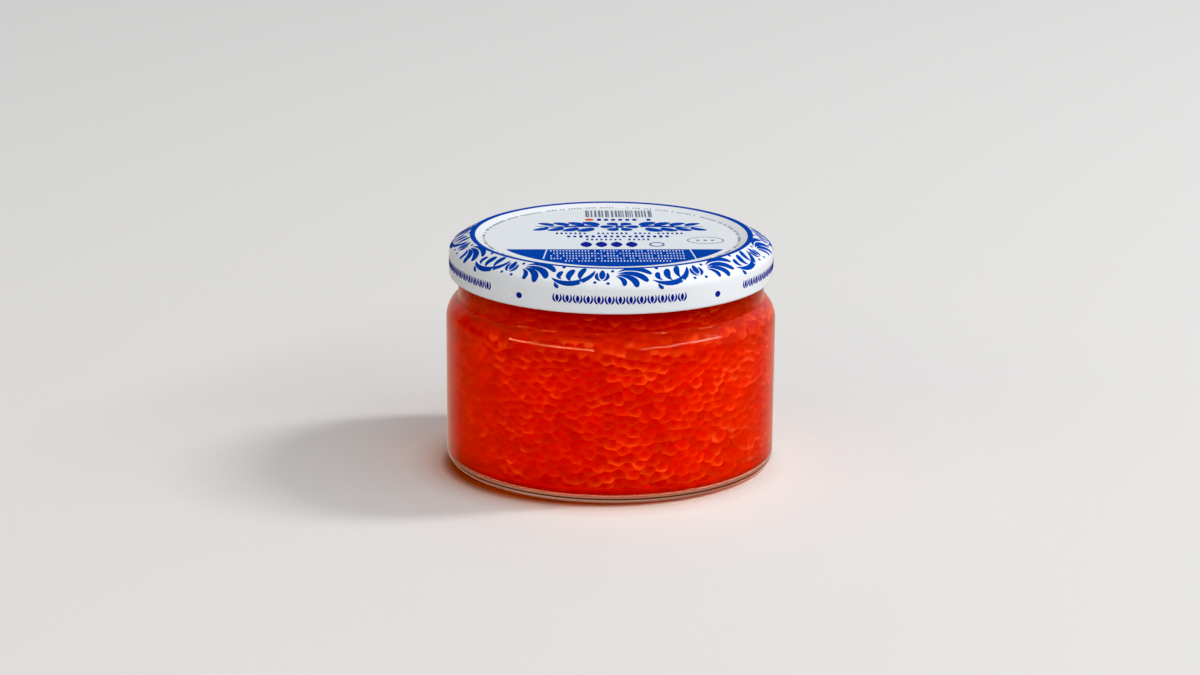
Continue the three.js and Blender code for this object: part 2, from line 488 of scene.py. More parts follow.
def flatBeds(random, height, facing):
    # middles of the eggs of a level bed, strewn over a disc and settled
    edge = roe["bedEdge"]
    count = round(np.pi * edge ** 2 / roe["bedArea"])
    far, turn = edge * np.sqrt(random.random(count)), random.uniform(0, 2 * np.pi, count)
    places = np.stack([far * np.cos(turn), far * np.sin(turn)], 1)
    places = settled(
        places, roe["bedArea"], lambda p: p * np.minimum(1, edge / np.linalg.norm(p, axis=1))[:, None])
    middle = np.stack([*places.T, height + random.uniform(-roe["bedSpread"], roe["bedSpread"], count)], 1)
    across = np.tile([1.0, 0, 0], (count, 1))
    outward = np.tile([0, 0, facing], (count, 1))
    return middle, across, outward


def roundEgg():
    # a ball of 80 triangles
    ball = bmesh.new()
    bmesh.ops.create_icosphere(ball, subdivisions=2, radius=1)
    points = np.array([vertex.co for vertex in ball.verts])
    faces = np.array([[vertex.index for vertex in face.verts] for face in ball.faces])
    ball.free()
    return points, faces


def keptInside(points, press):
    # no further out than the inside of the glass at that height, and no lower than its floor
    wallLine = insideOutline(0, glass["insideSteps"])
    r = np.hypot(points[..., 0], points[..., 1])
    widest = np.interp(points[..., 2] - press, wallLine[:, 1], wallLine[:, 0]) - press
    points[..., :2] *= np.minimum(1, widest / r)[..., None]
    floor = np.interp(r, [0, wallLine[0, 0]], [glass["floorMiddle"], glass["floorEdge"]]) + press
    points[..., 2] = np.maximum(points[..., 2], floor)
    return points


def makeEggs():
    # Each egg is a ball stretched to three half axes along across, up and outward, leant about outward and
    # cut off flat where it would reach into the glass.
    random = np.random.default_rng(roe["seed"])
    floorMiddle = glass["floorMiddle"] + roe["inset"]
    beds = [wallBeds(random), flatBeds(random, floorMiddle, -1), flatBeds(random, roe["topHeight"], 1)]
    middle, across, outward = (np.concatenate(part) for part in zip(*beds))
    count = len(middle)
    middle = middle - outward * random.uniform(0, roe["sunk"], (count, 1))
    up = np.cross(outward, across)
    lean = np.radians(random.uniform(-roe["lean"], roe["lean"], (count, 1)))
    across, up = across * np.cos(lean) + up * np.sin(lean), up * np.cos(lean) - across * np.sin(lean)
    ball, ballFaces = roundEgg()
    size = np.array(roe["half"]) * (1 + random.uniform(-roe["sizeSpread"], roe["sizeSpread"], (count, 3)))
    local = ball * size[:, None]
    points = middle[:, None] + local @ np.stack([across, up, outward], 1)
    points = keptInside(points, roe["press"] + roe["pressSpread"] * random.random((count, 1)))
    faces = (ballFaces + len(ball) * np.arange(count)[:, None, None]).reshape(-1, 3)
    eggs = newPiece("roeEggs", points.reshape(-1, 3), [faces], eggMaterial())
    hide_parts("roe")
    # where the painted glow falls: how near a point is to the rim of its egg and how low it lies there, how
    # much painted light its egg gathers, and the egg's own tone
    rim = roe["rim"] * np.hypot(ball[:, 0], ball[:, 1]) - roe["low"] * ball[:, 1]
    addValues(eggs, "low", np.tile(rim, count))
    addValues(eggs, "gather", np.repeat(random.uniform(0, 1, count), len(ball)))
    addValues(eggs, "tone", np.repeat(random.uniform(0, 1, count), len(ball)))


def eggMaterial():
    # Deep red with a painted orange glow at the rim and low in each egg, where light would gather. Some eggs
    # have more painted glow than others, and so do some stretches of the wall. The glow is painted emission
    # that stands in for light that has come through the roe.
    material, shader = newMaterial("wetRoe", (0.6, 0.01, 0.002), 0.4, SpecularIORLevel=0, EmissionStrength=1)
    crescent = mapped(material, pointValue(material, "low"), 0, 1, *roe["lowSpan"])
    gather = mapped(material, pointValue(material, "gather"), *roe["gather"])
    stretches = mapped(material, objectNoise(material, roe["stretchWaves"], 1), *roe["uneven"], 0.35, 0.65)
    cloud = mapped(material, objectNoise(material, roe["cloudWaves"]), *roe["uneven"], 0.3, 0.7)
    side = acrossFrom(material, objectAxes(material)["X"], roe["glowLeft"], roe["glowSpan"])
    share = product(material, crescent, gather, stretches, side, cloud)
    tone = mapped(material, pointValue(material, "tone"), *roe["tone"])
    strength = product(material, tone, roeShade(material))
    lightBy(material, shader, strength, ramped(material, share, roe["skin"]), "Base Color")
    lightBy(material, shader, strength, ramped(material, share, roe["glow"]), "Emission Color")
    return material


def roeShade(material):
    # painted shade: the roe at the bottom, under the lid and at the left is darkened, as it gets less light
    # there
    axes = objectAxes(material)
    height = mapped(material, axes["Z"], 0, 1, 0, roe["topHeight"] * mm)
    byHeight = ramped(material, height, [(at, (light,) * 3) for at, light in roe["light"]])
    return product(material, byHeight, acrossFrom(material, axes["X"], roe["lightLeft"], roe["lightSpan"]))


core = {
    "inset": 1.05,
    "cornerInset": 0.06,
    "steps": 8,
    "row": 1.2,               # height of a row of faces
    "margin": 2,              # between the corner's curve and the faces above and beside it
    "topUnder": 1,            # how far its top lies below the middles of the upper eggs
    "waves": 76,              # round the jar
    "beat": 2.4,              # radians that the waves move on from row to row
    "relief": 0.25,
    "cloudWaves": 300,        # for each metre
    "skin": [(0.3, (0.44, 0.003, 0.002)), (0.7, (0.56, 0.008, 0.004))],
    # shares of the painted shade that go into the colour and into the painted glow
    "skinShare": 0.6,
    "glowShare": 0.85,
}


def makeCore():
    # The roe behind the outer eggs: a turned body whose surface rises and falls by an egg's size, by relief *
    # (cos(waves * turn) * cos(beat * row) - 1). At the bottom it reaches out into the corner of the glass.
    steps = core["steps"]
    corner = insideOutline(core["cornerInset"], steps)[:steps + 1]
    wall = insideOutline(core["inset"], steps)[steps:]
    low, high = corner[-1, 1] + core["margin"], wall[1, 1]
    rows = round((high - low) / core["row"])
    side = np.stack([np.full(rows, wall[0, 0]), np.linspace(low, high, rows + 1)[:-1]], 1)
    floor, top = glass["floorMiddle"] + core["inset"], roe["topHeight"] - core["topUnder"]
    bottom = np.concatenate([[[0, floor], [corner[0, 0] - core["margin"], floor]], corner])
    outline = np.concatenate([bottom, side, wall[1:], [[wall[-1, 0], top], [0, top]]])
    turns = evenTurns(4 * core["waves"])
    wave = np.cos(turns * core["waves"]) * np.cos(np.arange(len(outline)) * core["beat"])[:, None]
    ridge = core["relief"] * (wave - 1)
    ridge[:len(bottom)] = ridge[-1] = 0
    points, faces = turned(outline, turns, ridge)

    # deep red with a painted glow, both darkened by the roe's painted shade
    material, shader = newMaterial(
        "deepRoe", (0.8, 0.004, 0.0005), 0.5, SpecularIORLevel=0, EmissionStrength=1)
    skin = ramped(material, objectNoise(material, core["cloudWaves"]), core["skin"])
    shade = roeShade(material)
    lightBy(material, shader, mapped(material, shade, 0, core["skinShare"]), skin, "Base Color")
    lightBy(material, shader, mapped(material, shade, 0, core["glowShare"]), skin, "Emission Color")
    newPiece("roeCore", points, faces, material)


juice = {
    "reach": 0.1,             # how far it reaches into the glass
    "top": 54.9,
    "color": (1.0, 0.86, 0.8),
    "index": 1.34,
}


def makeLiquid():
    # the clear juice round the eggs: a turned body that reaches just into the glass, so that no air shows
    wall = insideOutline(-juice["reach"], glass["insideSteps"])
    rim = [[wall[-1, 0], juice["top"]], [0, juice["top"]]]
    outline = np.concatenate([[[0, glass["floorMiddle"] - juice["reach"]]], wall, rim])
    points, faces = turned(outline, evenTurns(glass["sides"]))
    material, shader = newMaterial(
        "roeJuice", juice["color"], 0.0, IOR=juice["index"], TransmissionWeight=1, SpecularTint=(0, 0, 0, 1))
    addBump(material, shader, objectNoise(material, scale=60, detail=1), distance=0.0003, strength=0.05)
    letLampsThrough(material, shader)
    newPiece("roeLiquid", points, faces, material, 50)


# Lid

lid = {
    "height": lidHigh[2] - 0.05,   # the print on the rim lies under the highest point
    "bottom": lidLow[2],
    "radius": lidHigh[0],
    "tin": 0.5,
    "crestRadius": 36.2,
    "crestCurve": 2.0,
    "recess": 1.0,
    "innerSlope": 22,
    "panelCurve": 1.6,
    "outerSlope": 29.5,
    "corner": 2.5,
    "curlHeight": 1.6,
    "curlWidth": 1.5,
    "white": (0.78, 0.815, 0.85),
    "panelTint": (0.73, 0.83, 0.895),
    "roughness": (0.2, 0.32),     # from place to place
    "smearWaves": 120,        # for each metre
    "peelWaves": 900,
    "tintEnd": 33,            # radius where the pale blue of the panel has faded out
    "tintDepth": 2,           # only this far down, not on the underside
    "sides": 256,
}


def pressedOutline(depth, steps):
    # panel, its curve, raised rim, outer slope and corner, from the axis out, a depth below the outer face
    innerSlope, outerSlope = lid["innerSlope"], lid["outerSlope"]
    inner, outer = math.radians(innerSlope), math.radians(outerSlope)
    crest, bend, corner = lid["crestCurve"], lid["panelCurve"], lid["corner"]
    crestCentre, panelHeight = lid["height"] - crest, lid["height"] - lid["recess"]
    rise = lid["recess"] - (crest + bend) * (1 - math.cos(inner))
    panelRadius = lid["crestRadius"] - (crest + bend) * math.sin(inner) - rise / math.tan(inner)
    slopeRun = (lid["radius"] - lid["crestRadius"]) * math.tan(outer)
    slopeEnd = crestCentre + crest / math.cos(outer) - slopeRun
    cornerHeight = slopeEnd - corner * math.tan(math.radians((90 - outerSlope) / 2))
    return np.concatenate([
        [[0, panelHeight - depth]],
        arc(panelRadius, panelHeight + bend, bend + depth, -90, innerSlope - 90, steps),
        arc(lid["crestRadius"], crestCentre, crest - depth, 90 + innerSlope, 90 - outerSlope, steps),
        arc(lid["radius"] - corner, cornerHeight, corner - depth, 90 - outerSlope, 0, steps * 2),
    ])


def makeLid():
    # the pressed outline down to the rolled lower edge and back up inside, turned round the axis
    curl = lid["curlWidth"] / 2
    edge = arc(lid["radius"] - curl, lid["bottom"] + curl, curl, 0, -180, 12)
    tuck = [[lid["radius"] - lid["tin"], lid["bottom"] + lid["curlHeight"]]]
    outline = np.concatenate([pressedOutline(0, 8), edge, tuck, pressedOutline(lid["tin"], 4)[::-1]])
    points, faces = turned(outline[::-1], evenTurns(lid["sides"]))

    material, shader = newMaterial(
        "whiteLacquer", lid["white"], 0.24, SpecularIORLevel=0.45, CoatWeight=0.2, CoatRoughness=0.12)
    addBump(material, shader, objectNoise(material, lid["peelWaves"], 3), distance=0.00004, strength=0.12)
    smear = mapped(material, objectNoise(material, lid["smearWaves"], 4), *lid["roughness"])
    link(material, smear, shader.inputs["Roughness"])
    shell = newPiece("lidShell", points, faces, material, 40)
    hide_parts("lid")
    # the panel is printed a pale blue
    inward = np.clip(lid["tintEnd"] - np.hypot(points[:, 0], points[:, 1]), 0, 1)
    addValues(shell, "panel", inward * (points[:, 2] > lid["height"] - lid["tintDepth"]))
    paint = ramped(material, pointValue(material, "panel"), [(0, lid["white"]), (1, lid["panelTint"])])
    link(material, paint, shader.inputs["Base Color"])


# Print on the lid. Ink is a thin closed patch: its top stands a lift above the tin, its underside is sunk.

ink = {
    "seed": 7,
    "lift": 0.03,
    "sink": 0.06,
    "over": 0.03,             # further lift of ink printed on ink
    "blue": (0.002, 0.048, 0.36),
    "navy": (0.008, 0.014, 0.26),
    "grey": (0.16, 0.18, 0.26),
    "white": (0.6, 0.69, 0.83),
    "red": (0.7, 0.06, 0.03),
    "uneven": (0.88, 1.12),   # share of the colour from place to place
    "unevenWaves": 1500,      # for each metre
    "ringMiddle": 36.1,       # radius of the blue ring's middle line
    "ringWidth": 1.4,
    "mmPerDegree": 0.68,      # round the lid where the ornament lies
    "panelTurn": 1.9,         # degrees that the panel's print is turned
    "panelShift": 0.9,
}

skirtEnd = [[lid["radius"], lid["bottom"] + lid["curlWidth"] / 2]]
facePath = np.concatenate([pressedOutline(0, 24), skirtEnd])
faceLength = lengthAlong(facePath)


def lengthAt(radius):
    # how far along the lid's face a radius above the skirt lies
    return np.interp(radius, facePath[:-1, 0], faceLength[:-1])


ringLength = lengthAt(ink["ringMiddle"])


def onLid(u, v, lift):
    # u is millimetres to the right of the front, v millimetres up the lid's face from the ring's middle line,
    # and lift is along the face's normal: (r + lift nr) round the axis by u, at z + lift nz
    r, z, dr, dz = placeAlong(facePath, ringLength - v)
    r, z = r - lift * dz, z + lift * dr
    t = np.radians(u / ink["mmPerDegree"])
    return np.stack([r * np.sin(t), -r * np.cos(t), z], -1)


def onPanel(u, v, lift):
    # u to the right and v away from the front on the flat panel, turned as the print is
    t = math.radians(ink["panelTurn"])
    x = u + ink["panelShift"]
    z = lid["height"] - lid["recess"] + lift
    return np.stack([x * math.cos(t) - v * math.sin(t), x * math.sin(t) + v * math.cos(t), z + 0 * x], -1)


def inkPatches(right, left, place, lift=ink["lift"]):
    # Between the right and the left edge of each patch, (n, m, 2), lie five points of its top and two of its
    # underside. Neighbouring sections join with quads, and both ends are shut.
    share = np.array([0, 0.25, 0.5, 0.75, 1, 1, 0])
    height = np.array([lift] * 5 + [-ink["sink"]] * 2)
    flat = right[:, :, None] + (left - right)[:, :, None] * share[:, None]
    grid = place(flat[..., 0], flat[..., 1], height)
    n, m, loop = grid.shape[:3]
    index = np.arange(n * m * loop).reshape(n, m, loop)
    beside = np.roll(index, -1, 2)
    quads = np.stack([index[:, :-1], index[:, 1:], beside[:, 1:], beside[:, :-1]], -1)
    return grid.reshape(-1, 3), [quads.reshape(-1, 4), index[:, 0], index[:, -1, ::-1]]


def strokes(shapes, place, steps=16, repeats=1, period=0, lift=ink["lift"]):
    # Each shape is the four control points of a Bezier curve, a width, and how the width grows from the start
    # and shrinks to the end. The half width at t is width / 2 * t^grow * (1 - t)^shrink, divided by the
    # largest value of that product. Copies follow at every period.
    path = np.array([shape[0] for shape in shapes], float)
    width, grow, shrink = (np.array([shape[i] for shape in shapes], float)[:, None] for i in (1, 2, 3))
    t = (1 - np.cos(np.linspace(0, np.pi, steps + 1))) / 2
    middle = np.stack([(1 - t) ** 3, 3 * t * (1 - t) ** 2, 3 * t ** 2 * (1 - t), t ** 3], 1) @ path
    ahead = np.stack([(1 - t) ** 2, 2 * t * (1 - t), t ** 2], 1) @ np.diff(path, axis=1)
    ahead /= np.linalg.norm(ahead, axis=-1, keepdims=True)
    normal = np.stack([-ahead[..., 1], ahead[..., 0]], -1)
    peak = grow / np.maximum(grow + shrink, 1e-9)
    full = peak ** grow * (1 - peak) ** shrink
    thinnest = 0.06
    half = width / 2 * np.maximum(t ** grow * (1 - t) ** shrink / full, thinnest)
    right, left = middle - normal * half[..., None], middle + normal * half[..., None]
    shift = np.stack([np.arange(repeats) * period, np.zeros(repeats)], 1)[:, None, None]
    right, left = ((edge + shift).reshape(-1, steps + 1, 2) for edge in (right, left))
    return inkPatches(right, left, place, lift)


def curve(points, width, grow, shrink, flip=(1, 1), move=(0, 0)):
    # a curved stroke, with its points multiplied by flip and moved
    return np.array(points, float) * flip + move, width, grow, shrink


def line(x0, y0, x1, y1, width, grow=0, shrink=0):
    # a straight stroke from (x0, y0) to (x1, y1)
    t = np.arange(4)[:, None] / 3
    return np.array([x0, y0]) * (1 - t) + np.array([x1, y1]) * t, width, grow, shrink


def dot(x, y, radius):
    # a round dot: a straight stroke whose half width is that of a circle
    return line(x - radius, y, x + radius, y, radius * 2, 0.5, 0.5)


def printed(name, color, *parts):
    # Several (points, faces) become one piece, with their indices moved on. The ink is a little uneven.
    points, faces, first = [], [], 0
    for somePoints, someFaces in parts:
        faces += [array + first for array in someFaces]
        points.append(somePoints)
        first += len(somePoints)
    material, shader = newMaterial(color + "Ink", ink[color], 0.4, IOR=1.02, SpecularIORLevel=0.5)
    low, high = ([part * share for part in ink[color]] for share in ink["uneven"])
    shade = ramped(material, objectNoise(material, ink["unevenWaves"], 3), [(0.3, low), (0.7, high)])
    link(material, shade, shader.inputs["Base Color"])
    newPiece(name, np.concatenate(points), faces, material, 40)


# points in millimetres to the right and down the slope, then width, grow and shrink
border = {
    "count": 10,
    "fan": [
        ([(1.6, 2.0), (4.2, 0.2), (8.4, 0.5), (10.2, 3.0)], 1.5, 0.9, 0.4),
        ([(1.7, 2.5), (4.6, 1.7), (8.2, 2.8), (8.6, 5.6)], 1.8, 0.9, 0.4),
        ([(1.5, 3.0), (3.8, 2.9), (6.4, 4.4), (5.9, 7.0)], 1.8, 0.9, 0.4),
        ([(1.2, 3.4), (2.6, 3.9), (3.6, 5.0), (3.0, 6.6)], 1.3, 0.9, 0.4),
    ],
    "spray": [
        ([(10.0, 5.0), (12.8, 7.3), (18.6, 7.0), (20.4, 1.6)], 1.5, 0.7, 0.5),
        ([(12.6, 5.3), (11.4, 4.6), (11.2, 3.6), (12.2, 2.5)], 1.4, 1.0, 0.5),
        ([(14.9, 5.6), (13.8, 4.6), (13.8, 3.0), (15.1, 1.6)], 1.8, 1.0, 0.5),
        ([(17.2, 5.0), (16.6, 3.8), (16.7, 2.2), (18.0, 0.9)], 1.6, 1.0, 0.5),
        ([(11.2, 6.2), (11.2, 6.8), (11.6, 7.3), (12.3, 7.6)], 0.9, 1.0, 0.5),
    ],
    "bud": [
        ([(22.3, 4.6), (22.3, 3.5), (22.3, 2.5), (22.3, 1.3)], 1.6, 0.7, 0.7),
        ([(22.1, 5.1), (21.0, 4.6), (20.6, 3.6), (21.1, 2.2)], 0.9, 0.8, 0.6),
        ([(22.5, 5.1), (23.6, 4.6), (24.0, 3.6), (23.5, 2.2)], 0.9, 0.8, 0.6),
    ],
    "dots": [(12.0, 0.9, 0.5), (20.7, 5.7, 0.4), (23.8, 5.9, 0.4), (0.4, 1.6, 0.42)],
}


def slopeOrnament():
    # one length of the border: a fan of comma leaves, a spray of drops on a long stem, a bud, and dots
    curves = border["fan"] + border["spray"] + border["bud"]
    return [curve(*shape, flip=(1, -1)) for shape in curves] + [dot(x, -s, r) for x, s, r in border["dots"]]


frieze = {
    "middle": (1.6, 11.3),
    "petals": 6,
    "petalFrom": 1.3,
    "petalLength": 3.9,       # to this many times as far out
    "petalWidth": 3.1,
    "stem": [(5.4, 0), (10, 2.2), (16, -2.2), (22.2, 0.6)],
    "leafPairs": 4,
    "leafStep": 3.9,
    "leafShrink": 0.08,       # from pair to pair
    "upper": [(6.3, 0.9), (6.0, 2.6), (7.5, 4.2), (9.7, 4.9)],
    "lower": [(7.7, -0.9), (7.5, -2.6), (9.0, -4.2), (11.2, -4.9)],
}


def panelOrnament():
    # a flower with a leafy stem to either side
    middle = frieze["middle"]
    shapes = [dot(*middle, 1.2)]
    for turn in np.arange(frieze["petals"]) * 2 * math.pi / frieze["petals"]:
        foot = np.array([math.cos(turn), math.sin(turn)]) * frieze["petalFrom"]
        tip = foot * frieze["petalLength"] + middle
        shapes.append(line(*(foot + middle), *tip, frieze["petalWidth"], 0.9, 0.5))
    for side in (-1, 1):
        shapes.append(curve(frieze["stem"], 1.7, 0.3, 0.8, (side, 1), middle))
        for i in range(frieze["leafPairs"]):
            size = 1 - frieze["leafShrink"] * i
            foot = np.array([side * frieze["leafStep"] * i, 0]) + middle
            for leaf in (frieze["upper"], frieze["lower"]):
                shapes.append(curve(leaf, 3.4 * size, 0.7, 0.6, (side, size), foot))
    return shapes


skirt = {
    "dotHeight": 52.6,
    "dotTurn": -32.8,         # degrees from the front to a dot
    "dotRadius": 0.78,
    "rowBottom": 52.2,
    "rowHeight": 2.2,
    "rowStart": -18.4,
    "rowEnd": 24.8,
    "rowCount": 13,
    "repeats": 5,
}


def upFace(z):
    # distance up the lid's face, from the ring's middle line, of the height z on its outer side
    crest = facePath[:, 1].argmax()
    return ringLength - np.interp(-z, -facePath[crest:, 1], faceLength[crest:])


def skirtOrnament():
    # a row of lozenges with a leaf leaning on either side
    low = upFace(skirt["rowBottom"])
    high = low + skirt["rowHeight"]
    leaf = [(0.25, low), (0.95, low + 0.4), (1.15, high - 1.0), (0.7, high)]
    shapes = []
    for angle in np.linspace(skirt["rowStart"], skirt["rowEnd"], skirt["rowCount"]):
        x = angle * ink["mmPerDegree"]
        shapes.append(line(x, low + 0.15, x, high - 0.15, 0.85, 0.8, 0.8))
        shapes += [curve(leaf, 0.5, 0.5, 0.7, (side, 1), (x, 0)) for side in (-1, 1)]
    return shapes


# on the panel, in millimetres to the right and away from the front
field = {
    "chord": -13.2,           # the blue field lies between this line and the edge of the panel
    "radius": 30.8,
    "shift": 0.4,
    "slantTop": 18.3,         # half the distance between the two slanted lines, above and below
    "slantBottom": 19.3,
    "slantFoot": -23.2,
    "slantWidth": 0.35,
    "slantShift": 0.5,
    "rows": (-14.9, -17.6, -20.2, -22.8, -25.4),
    "rowHeight": 1.3,
    "rowHalf": 16.8,          # half the length of a row, which also stays inside a circle
    "rowCircle": 28.6,
}


def fieldPatch():
    # from the chord to the arc of a circle: x is half the chord times the sine of even steps, just short of
    # the corners
    half = math.sqrt(field["radius"] ** 2 - field["chord"] ** 2) * 0.995
    x = half * np.sin(np.linspace(-np.pi / 2, np.pi / 2, 49))
    edge = np.stack([x + field["shift"] - ink["panelShift"], -np.sqrt(field["radius"] ** 2 - x ** 2)], 1)
    chord = np.stack([edge[:, 0], np.full(len(x), field["chord"])], 1)
    return inkPatches(edge[None], chord[None], onPanel)


def ringBand():
    # the blue ring: the same points above and below the tin's face, turned round the axis
    v = np.linspace(-0.5, 0.5, 9) * ink["ringWidth"]
    loop = np.concatenate([onLid(0 * v, v, ink["lift"]), onLid(0 * v, v[::-1], -ink["sink"])])
    return turned(loop[:, 1:] * (-1, 1), evenTurns(lid["sides"]))


marks = {
    "spacing": 0.6,           # of a mark's height
    "missing": 0.12,
    "lowest": 0.65,
    "rows": [                 # from, to, height on the panel, a mark's height, and its width as a share
        (-3.6, 9.6, 19.2, 2.6, 0.4),
        (-15.0, 17.6, 4.0, 1.9, 0.3),
        (-12.0, 13.6, 0.6, 2.4, 0.33),
        (-7.2, 9.8, -2.7, 1.8, 0.3),
    ],
    "fieldWidth": 0.26,
    "rimRadius": 33.2,        # a ring of small grey dashes on the inner slope
    "rimSpacing": 0.8,
    "rimMissing": 0.22,
    "lozenges": (-7.6, -3.7, 0.2, 4.1),
    "lozengeSpan": (-10.9, -5.1),
    "barSpan": (22.2, 29.8),
    "barFrom": -7.85,
    "barCount": 23,
    "barSteps": (0.55, 0.8, 1.05),
    "barWidth": 0.55,         # as a share of the step
    "oval": (23.4, -3.6),
    "ovalHalf": (4.8, 3.6),
    "ovalLine": 0.3,
    "redDot": (-6.2, 19.3, 1.2),
}


def markRow(random, x0, x1, y, height, width):
    # a row of small upright marks of uneven height, with gaps here and there
    x = np.linspace(x0, x1, int((x1 - x0) / (height * marks["spacing"])))
    shown = random.random(len(x)) > marks["missing"]
    tall = height * random.uniform(marks["lowest"], 1, len(x))
    return [line(a, y - h / 2, a, y + h / 2, height * width) for a, h in zip(x[shown], tall[shown])]


def lozengeRow():
    # four lozenges and a small ring
    low, high = marks["lozengeSpan"]
    lozenges = [line(x, low, x, high, 3.0, 0.8, 0.8) for x in marks["lozenges"]]
    arch = [(8.8, 0), (8.8, 2.6), (12.4, 2.6), (12.4, 0)]
    return lozenges + [curve(arch, 0.55, 0.2, 0.2, (1, side), (0, -8)) for side in (-1, 1)]


def rimDashes(random):
    # a ring of small dashes on the inner slope, some of them left out
    radius = marks["rimRadius"]
    u = ink["mmPerDegree"] * np.arange(0, 360, marks["rimSpacing"] / math.radians(radius))
    v = ringLength - lengthAt(radius)
    return [line(x, v - 0.4, x, v + 0.4, 0.3) for x in u[random.random(len(u)) > marks["rimMissing"]]]


def barRow(random):
    # a row of upright bars of three widths
    step = random.choice(marks["barSteps"], marks["barCount"])
    places = marks["barFrom"] + np.cumsum(step)
    low, high = marks["barSpan"]
    return [line(x, low, x, high, width) for x, width in zip(places, step * marks["barWidth"])]


def ovalRing():
    # a thin ellipse: its inner and outer edge are cos and sin of an angle times the half axes
    a = np.linspace(0, 2 * np.pi, 49)
    circle = np.stack([np.cos(a), np.sin(a)], 1)
    half = np.array(marks["ovalHalf"])
    outer, inner = (marks["oval"] + circle * axes for axes in (half, half - marks["ovalLine"]))
    return inkPatches(outer[None], inner[None], onPanel)


def makePrint():
    # one piece for each ink; what repeats round the lid comes back after 360 / count degrees
    random = np.random.default_rng(ink["seed"])
    period = 360 / border["count"] * ink["mmPerDegree"]
    slope = strokes(slopeOrnament(), onLid, 16, border["count"], period)
    printed("printBlue", "blue", ringBand(), slope, fieldPatch(), strokes(panelOrnament(), onPanel))

    period = 360 / skirt["repeats"] * ink["mmPerDegree"]
    skirtDot = dot(skirt["dotTurn"] * ink["mmPerDegree"], upFace(skirt["dotHeight"]), skirt["dotRadius"])
    rows = [mark for row in marks["rows"] for mark in markRow(random, *row)]
    printed(
        "printNavy", "navy",
        strokes([skirtDot], onLid, 12, skirt["repeats"], period),
        strokes(skirtOrnament(), onLid, 8, skirt["repeats"], period),
        strokes(rows, onPanel, 1),
        strokes(lozengeRow(), onPanel, 12),
    )

    x, y = marks["oval"]
    ovalMarks = [line(x + a, y, x + a + 0.8, y, 1.1) for a in (-2.4, -0.5, 1.4)]
    printed(
        "printGrey", "grey",
        strokes(rimDashes(random), onLid, 1),
        strokes(barRow(random), onPanel, 1),
        ovalRing(),
        strokes(ovalMarks, onPanel, 1),
    )

    onField = []
    for side in (-1, 1):
        top, bottom = (side * field[end] + field["slantShift"] for end in ("slantTop", "slantBottom"))
        onField.append(line(top, field["chord"], bottom, field["slantFoot"], field["slantWidth"]))
    for y in field["rows"]:
        half = min(field["rowHalf"], math.sqrt(field["rowCircle"] ** 2 - y ** 2))
        onField += markRow(random, -half, half, y, field["rowHeight"], marks["fieldWidth"])
    printed("printWhite", "white", strokes(onField, onPanel, 1, lift=ink["lift"] + ink["over"]))
    printed("printRed", "red", strokes([dot(*marks["redDot"])], onPanel))


# Studio

view = {
    "eye": (0, -724.3, 236.8),
    "down": 15.87,
    "yaw": -0.211,
    "pitch": 0.065,
    "roll": -0.467,
    "lens": 86.0,
    "sensor": 36,
}


def put(item, *columns):
    # turned to its directions right, up and back, and moved to its place in metres
    matrix = np.eye(4)
    matrix[:3] = np.stack(columns, 1)
    item.matrix_world = Matrix(matrix.tolist())


def turnedPair(first, second, angle):
    # two directions turned by an angle in their own plane
    c, s = math.cos(angle), math.sin(angle)
    return c * first - s * second, s * first + c * second


def makeCamera():
    # Right, up and forward of a camera that looks down along +Y, then three small turns: yaw mixes right and
    # forward, pitch mixes up and forward, roll mixes right and up.
    down, yaw, pitch, roll = (math.radians(view[turn]) for turn in ("down", "yaw", "pitch", "roll"))
    right = np.array([1, 0, 0])
    up = np.array([0, math.sin(down), math.cos(down)])
    forward = np.array([0, math.cos(down), -math.sin(down)])
    right, forward = turnedPair(right, forward, yaw)
    up, forward = turnedPair(up, forward, pitch)
    right, up = turnedPair(right, up, roll)
    data = bpy.data.cameras.new("camera")
    data.lens = view["lens"]
    data.sensor_width = view["sensor"]
    data.clip_start = 0.01
    camera = addObject("camera", data)
    put(camera, right, up, -forward, np.array(view["eye"]) * mm)
    bpy.context.scene.camera = camera
    print(f"camera: lens {view['lens']} mm")


studio = {
    "floorHalf": 4,
    "floorColor": (0.73, 0.722, 0.712),
    "shadowMiddle": (-3.6, -7.5, 0),  # the painted red shadow of the roe is an ellipse about this point
    "shadowStretch": (1, 1.108, 1),
    "shadow": [
        (37.5, (0.26, 0.045, 0.02)), (39.2, (0.36, 0.16, 0.12)), (41.2, (0.58, 0.47, 0.43)),
        (44.5, (0.67, 0.62, 0.6)),
    ],
    "shadowEnd": 50,
    "skyColor": (0.97, 0.98, 1.0),
    "groundColor": (1.0, 0.8, 0.62),
    "skyToward": (0.35, -0.6, 0.8),
    "skySpan": (-0.35, 0.75),
    "skyPower": (0.03, 0.74),
    "groundPower": 0.1,
    "backSpan": (0.6, 0.93),
    "backPower": 0.44,
    "aim": (0, 0, 0.03),      # where the lamps point, in metres
    "black": (0.004, 0.003, 0.012),   # what the picture shows as black, which takes the veil off dark colours
}


def makeFloor():
    # a square just under the jar, with a painted shadow whose colour runs by the distance from the shadow's
    # middle
    half, under = studio["floorHalf"], -0.00005
    corners = [(-half, -half), (half, -half), (half, half), (-half, half)]
    mesh = bpy.data.meshes.new("floor")
    mesh.from_pydata([(x, y, under) for x, y in corners], [], [(0, 1, 2, 3)])
    floor = addObject("floor", mesh)
    # as through a polarizing filter, the glass and the lid don't mirror the floor
    floor.visible_glossy = False
    material, shader = newMaterial("paleFloor", studio["floorColor"], 0.6, SpecularIORLevel=0.05)
    mesh.materials.append(material)
    far = farFrom(material, studio["shadowMiddle"], studio["shadowStretch"])
    end = studio["shadowEnd"]
    stops = [(r / end, color) for r, color in studio["shadow"]] + [(1, studio["floorColor"])]
    color = ramped(material, mapped(material, far, 0, 1, 0, end * mm), stops)
    link(material, color, shader.inputs["Base Color"])


